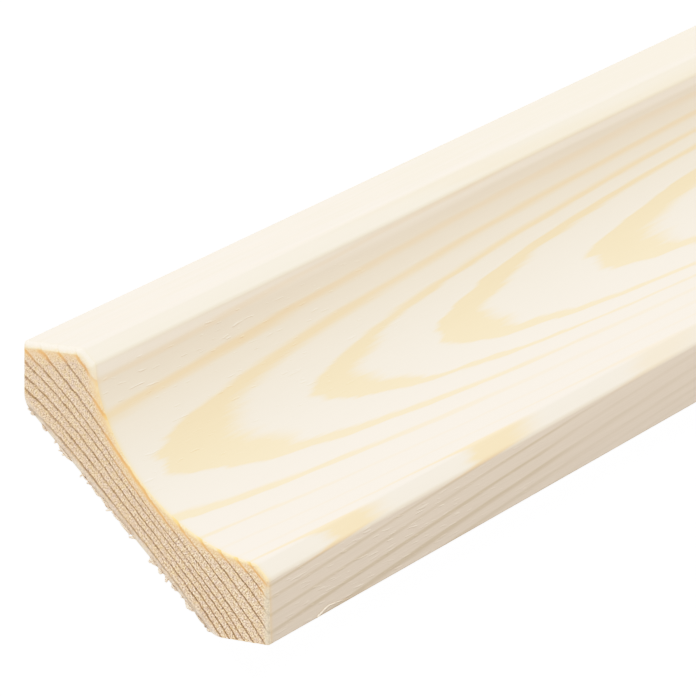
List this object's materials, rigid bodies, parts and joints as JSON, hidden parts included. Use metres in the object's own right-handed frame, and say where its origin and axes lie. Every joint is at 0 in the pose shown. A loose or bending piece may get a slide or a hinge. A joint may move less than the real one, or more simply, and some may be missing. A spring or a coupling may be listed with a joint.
{
  "type": "scotia moulding",
  "caption": "Length of pale softwood scotia moulding: a concave face between square nosings and a flat relief back, for the inside corner between a wall and a ceiling or floor.",
  "frame": {"origin": "middle of the relief back, on the surface that the moulding lies on", "axes": "+X along the length, away from the sawn end that the picture shows; +Z from the back up through the hollow face; +Y across the section"},
  "size_m": [2.4, 0.0478, 0.0115],
  "materials": {
    "planed_pine": "planed, unfinished"
  },
  "bodies": {
    "root": {"scotia_moulding": "planed_pine"}
  },
  "joints": []
}
